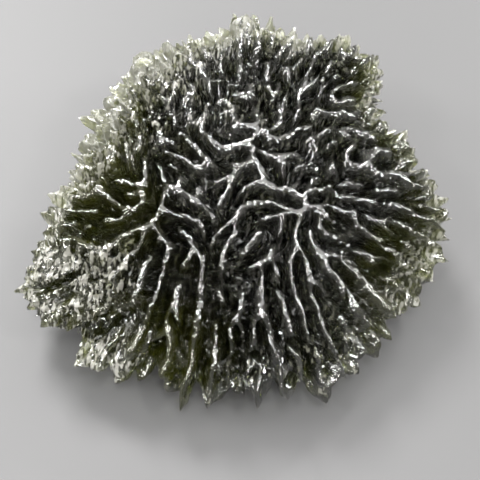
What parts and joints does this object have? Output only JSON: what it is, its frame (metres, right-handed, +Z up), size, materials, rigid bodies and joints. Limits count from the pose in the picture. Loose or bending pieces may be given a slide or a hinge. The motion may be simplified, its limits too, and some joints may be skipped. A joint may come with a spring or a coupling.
{
  "type": "moldavite",
  "caption": "Spiny, deeply grooved piece of natural green glass, bun-shaped, with thin branching ridges and a toothed rim.",
  "frame": {"origin": "on the surface that the stone rests on, under the middle of its bounding box", "axes": "+Z up, -Y towards the stone's low front, +X to the stone's right"},
  "size_m": [0.0396, 0.0422, 0.0145],
  "materials": {
    "moldavite_glass": "glossy natural glass, see-through green where thin and near black where thick"
  },
  "bodies": {
    "root": {"moldavite": "moldavite_glass"}
  },
  "joints": []
}
